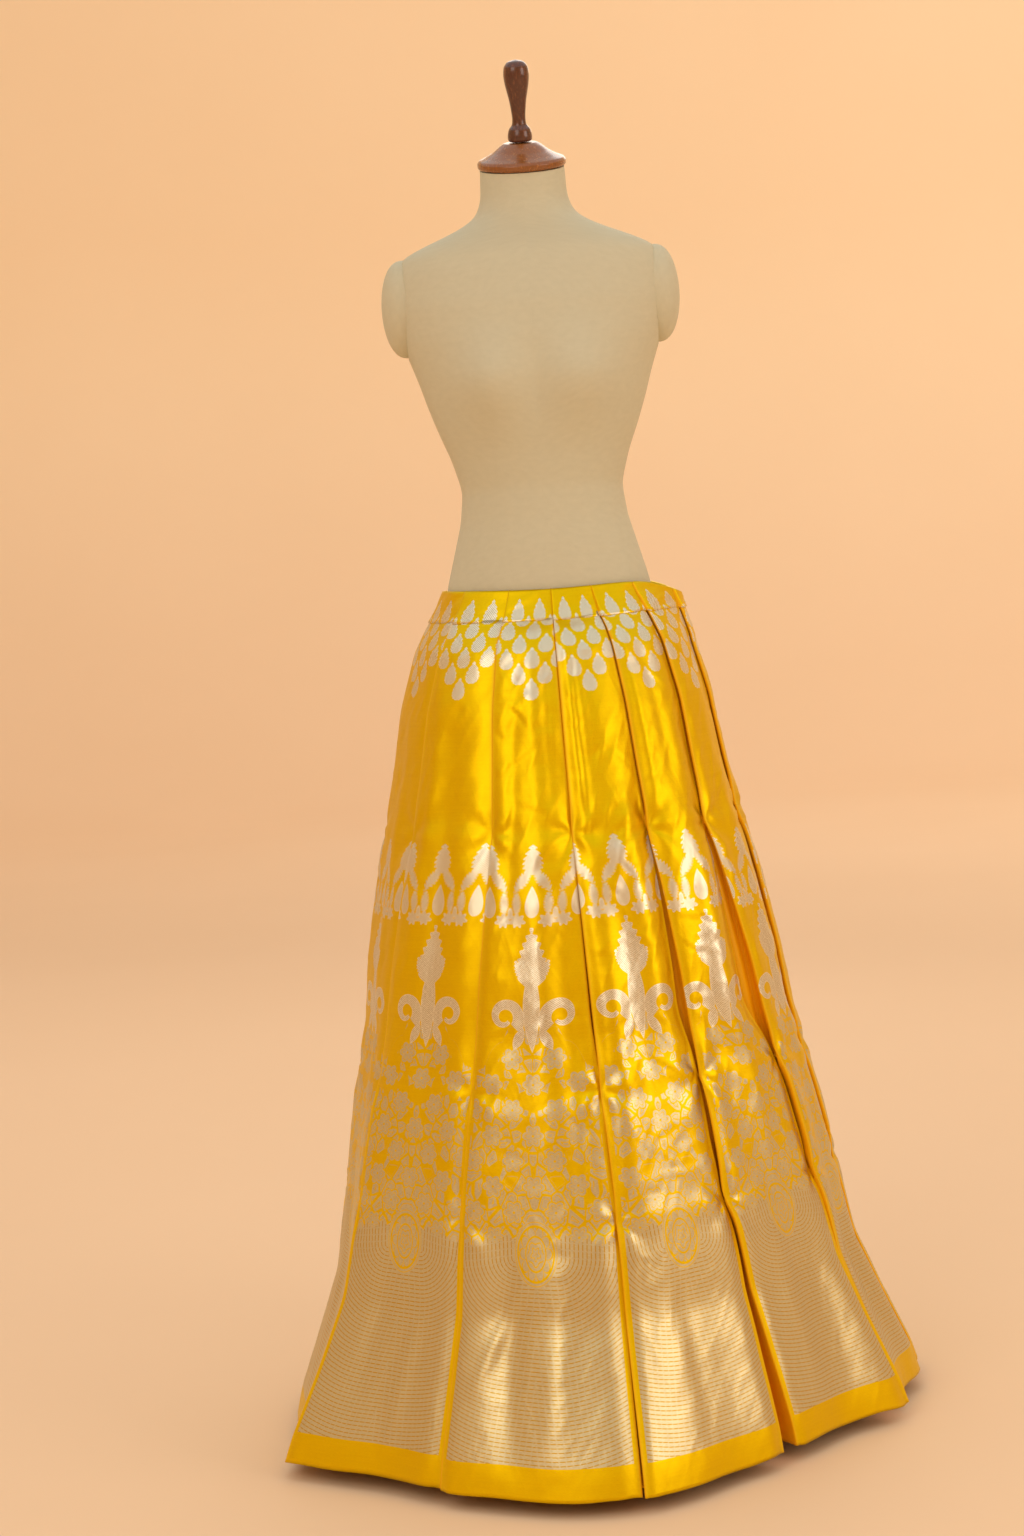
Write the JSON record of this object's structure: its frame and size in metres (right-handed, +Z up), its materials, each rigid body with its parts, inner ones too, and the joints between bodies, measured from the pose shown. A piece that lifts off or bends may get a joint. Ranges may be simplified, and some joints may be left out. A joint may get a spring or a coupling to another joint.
{
  "type": "lehenga skirt on a limbless dress form",
  "caption": "Floor-length lehenga skirt of pleated, flared silk brocade panels on a waistband, shown on a limbless linen dress form with a wooden neck cap.",
  "frame": {"origin": "centre of the underside of the stand's base", "axes": "+Z up, the garment's front faces -Y, +X towards the wearer's left"},
  "size_m": [0.8224, 0.8433, 1.7187],
  "materials": {
    "brocade": "satin yellow silk woven with pale gold metal thread",
    "linen": "matt natural linen",
    "cap_wood": "polished red-brown",
    "handle_wood": "polished dark brown",
    "stand_steel": "satin"
  },
  "bodies": {
    "root": {"kali_01": "brocade", "kali_02": "brocade", "kali_03": "brocade", "kali_04": "brocade", "kali_05": "brocade", "kali_06": "brocade", "kali_07": "brocade", "kali_08": "brocade", "kali_09": "brocade", "kali_10": "brocade", "kali_11": "brocade", "kali_12": "brocade", "waistband": "brocade", "form_torso": "linen", "form_arm_cap_right": "linen", "form_arm_cap_left": "linen", "form_neck_cap": "cap_wood", "form_handle": "handle_wood", "stand_pole": "stand_steel", "stand_collar": "stand_steel", "stand_base": "stand_steel"}
  },
  "joints": []
}
